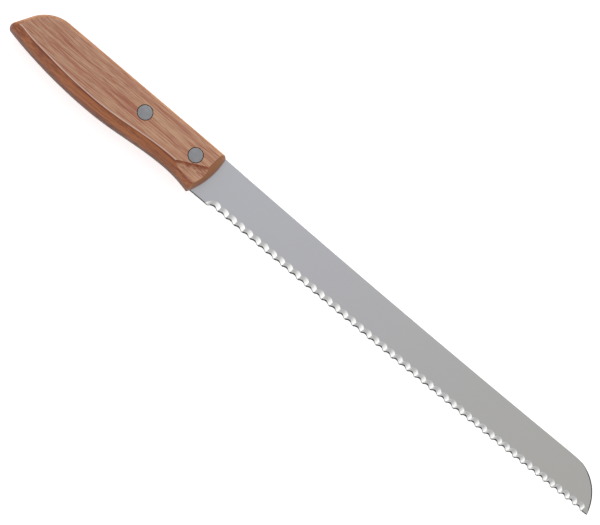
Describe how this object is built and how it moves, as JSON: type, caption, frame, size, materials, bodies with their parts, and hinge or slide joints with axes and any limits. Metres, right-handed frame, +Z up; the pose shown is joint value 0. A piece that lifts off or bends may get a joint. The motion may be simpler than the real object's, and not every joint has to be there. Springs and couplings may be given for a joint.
{
  "type": "bread knife",
  "caption": "Long straight bread knife with a scalloped edge, a rounded tip, and a wooden handle with flat sides, a rounded belly and flush cutlery rivets.",
  "frame": {"origin": "on the surface that the knife lies on, under the middle of its bounding box", "axes": "+X towards the blade's tip, +Y towards the spine, +Z up, out of the side that carries the ground scallops"},
  "size_m": [0.3633, 0.0246, 0.017],
  "materials": {
    "wood": "close-grained pink-brown hardwood, sanded and oiled, satin",
    "blade_steel": "fine satin grind along the blade, bright ground scallops",
    "rivet_metal": "satin, ground flush with the wood"
  },
  "bodies": {
    "root": {"handle": "wood", "blade": "blade_steel", "front_rivet_male": "rivet_metal", "front_rivet_female": "rivet_metal", "rear_rivet_male": "rivet_metal", "rear_rivet_female": "rivet_metal"}
  },
  "joints": []
}
